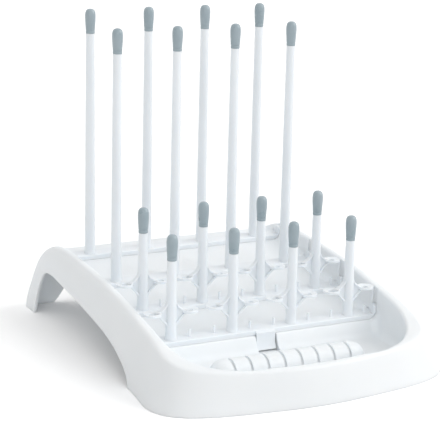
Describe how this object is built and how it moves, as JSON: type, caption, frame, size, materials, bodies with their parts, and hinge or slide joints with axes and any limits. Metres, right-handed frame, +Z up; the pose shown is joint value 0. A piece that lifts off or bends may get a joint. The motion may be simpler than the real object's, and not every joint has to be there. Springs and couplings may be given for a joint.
{
  "type": "baby bottle drying rack",
  "caption": "White countertop drying rack for baby bottles: sloping tray on a flared skirt, with lift-out strips of tall and short pegs that end in soft grey tips.",
  "frame": {"origin": "on the table, under the middle of the rack's footprint", "axes": "+X to the right for someone who faces the nose, +Y from the low nose to the high back, +Z up along the pegs"},
  "size_m": [0.2956, 0.3723, 0.3103],
  "materials": {
    "tray_white": "white polypropylene with a satin gloss",
    "peg_white": "white polypropylene with a satin gloss",
    "soft_tip": "blue-grey soft-touch rubber, matt"
  },
  "bodies": {
    "tray": {"tray_base": "tray_white"},
    "front_short_pegs": {"front_short_strip": "peg_white", "front_short_cap_1": "soft_tip", "front_short_cap_2": "soft_tip", "front_short_cap_3": "soft_tip", "front_short_cap_4": "soft_tip"},
    "rear_short_pegs": {"rear_short_strip": "peg_white", "rear_short_cap_1": "soft_tip", "rear_short_cap_2": "soft_tip", "rear_short_cap_3": "soft_tip", "rear_short_cap_4": "soft_tip"},
    "front_tall_pegs": {"front_tall_strip": "peg_white", "front_tall_cap_1": "soft_tip", "front_tall_cap_2": "soft_tip", "front_tall_cap_3": "soft_tip", "front_tall_cap_4": "soft_tip"},
    "rear_tall_pegs": {"rear_tall_strip": "peg_white", "rear_tall_cap_1": "soft_tip", "rear_tall_cap_2": "soft_tip", "rear_tall_cap_3": "soft_tip", "rear_tall_cap_4": "soft_tip"}
  },
  "joints": [
    {"name": "front_short_lift", "type": "slide", "parent": "tray", "child": "front_short_pegs", "axis": [0, 0, 1], "range_m": [0, 0.06]},
    {"name": "rear_short_lift", "type": "slide", "parent": "tray", "child": "rear_short_pegs", "axis": [0, 0, 1], "range_m": [0, 0.06]},
    {"name": "front_tall_lift", "type": "slide", "parent": "tray", "child": "front_tall_pegs", "axis": [0, 0, 1], "range_m": [0, 0.06]},
    {"name": "rear_tall_lift", "type": "slide", "parent": "tray", "child": "rear_tall_pegs", "axis": [0, 0, 1], "range_m": [0, 0.06]}
  ]
}
